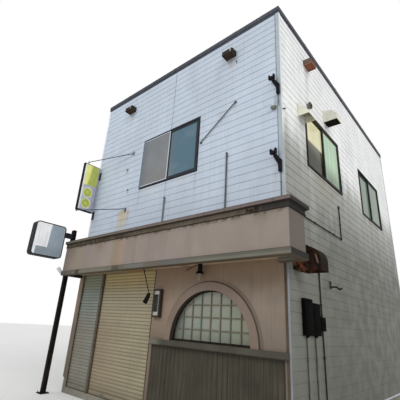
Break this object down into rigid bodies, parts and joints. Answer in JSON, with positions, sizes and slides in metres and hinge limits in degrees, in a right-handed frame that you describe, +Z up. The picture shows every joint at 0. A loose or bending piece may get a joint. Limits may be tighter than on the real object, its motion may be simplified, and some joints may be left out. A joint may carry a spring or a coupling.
{
  "type": "corner shop building",
  "caption": "Narrow corner shop building with grooved siding above, a rendered box canopy with moulded cornice, closed roller shutters, a half-round lattice window and hanging light boxes.",
  "frame": {"origin": "middle of the house's footprint at ground level, on the underside of the slab", "axes": "+Z up; -Y out of the street front with the shutters; +X out of the side wall at the street corner; -X is the plain party wall"},
  "size_m": [6.2, 8.77, 7.5],
  "materials": {
    "concrete": "cast concrete, weathered",
    "party_sheet": "upright ribbed sheet, coated",
    "siding": "satin coated siding",
    "shop_render": "rough painted render",
    "floor_timber": "bare boards",
    "roof_sheet": "coated sheet, dusty",
    "coping_metal": "dark coated sheet",
    "fascia_render": "painted render, streaked",
    "cornice_render": "painted render, stained",
    "band_paint": "painted render",
    "soffit_board": "painted board",
    "deck_sheet": "dull sheet",
    "cream_shutter": "faded enamel, rust at the head",
    "green_shutter": "faded enamel",
    "guide_metal": "dull",
    "surround_render": "smooth painted render",
    "arch_frame_paint": "dark painted timber",
    "lattice_paint": "brown enamel",
    "arch_glass": "frosted",
    "ledge_stone": "painted render",
    "panel_boards": "dark stained boards",
    "dark_aluminium": "dark anodised",
    "sash_aluminium": "grey anodised",
    "window_glass": "clear, dusty",
    "screen_mesh": "bright frame, grey mesh",
    "trim_sheet": "coated sheet",
    "vent_sheet": "dark, rust spots",
    "vent_alloy": "dull",
    "cream_sheet": "cream enamel",
    "rusty_sheet": "rusted enamel",
    "meter_case": "dark case",
    "conduit_plastic": "grey pipe",
    "rain_plastic": "grey pipe",
    "bracket_paint": "dark, rust spots",
    "lamp_enamel": "black enamel, white glass",
    "case_enamel": "dark case, white ends",
    "spot_enamel": "black enamel",
    "rod_steel": "thin rusty rod",
    "sign_box": "bare light box, dark frame",
    "post_paint": "dark paint, rust at the foot",
    "plate_box": "bare light box, dark frame"
  },
  "bodies": {
    "root": {"foundation": "concrete", "party_wall": "party_sheet", "side_wall": "siding", "rear_wall": "siding", "front_wall_ground": "shop_render", "shutter_pier": "shop_render", "shutter_header": "shop_render", "front_wall_upper": "siding", "upper_floor": "floor_timber", "roof_deck": "roof_sheet", "roof_coping": "coping_metal", "canopy_fascia": "fascia_render", "canopy_cornice": "cornice_render", "canopy_band": "band_paint", "canopy_soffit": "soffit_board", "canopy_deck": "deck_sheet", "main_shutter": "cream_shutter", "side_shutter": "green_shutter", "shutter_guides": "guide_metal", "arch_surround": "surround_render", "arch_frame": "arch_frame_paint", "arch_lattice": "lattice_paint", "arch_glass": "arch_glass", "window_ledge": "ledge_stone", "base_panel": "panel_boards", "window_frames": "dark_aluminium", "window_sashes": "sash_aluminium", "window_glass": "window_glass", "insect_screen": "screen_mesh", "corner_trim": "trim_sheet", "vent_hoods": "vent_sheet", "round_vent": "vent_alloy", "weather_hoods": "cream_sheet", "exhaust_hood": "rusty_sheet", "meter_boxes": "meter_case", "conduits": "conduit_plastic", "rain_pipe": "rain_plastic", "service_brackets": "bracket_paint", "shop_lamp": "lamp_enamel", "lamp_case": "case_enamel", "hanging_spotlight": "spot_enamel", "wall_rods": "rod_steel", "blade_sign": "sign_box", "sign_post": "post_paint", "post_sign": "plate_box"}
  },
  "joints": []
}
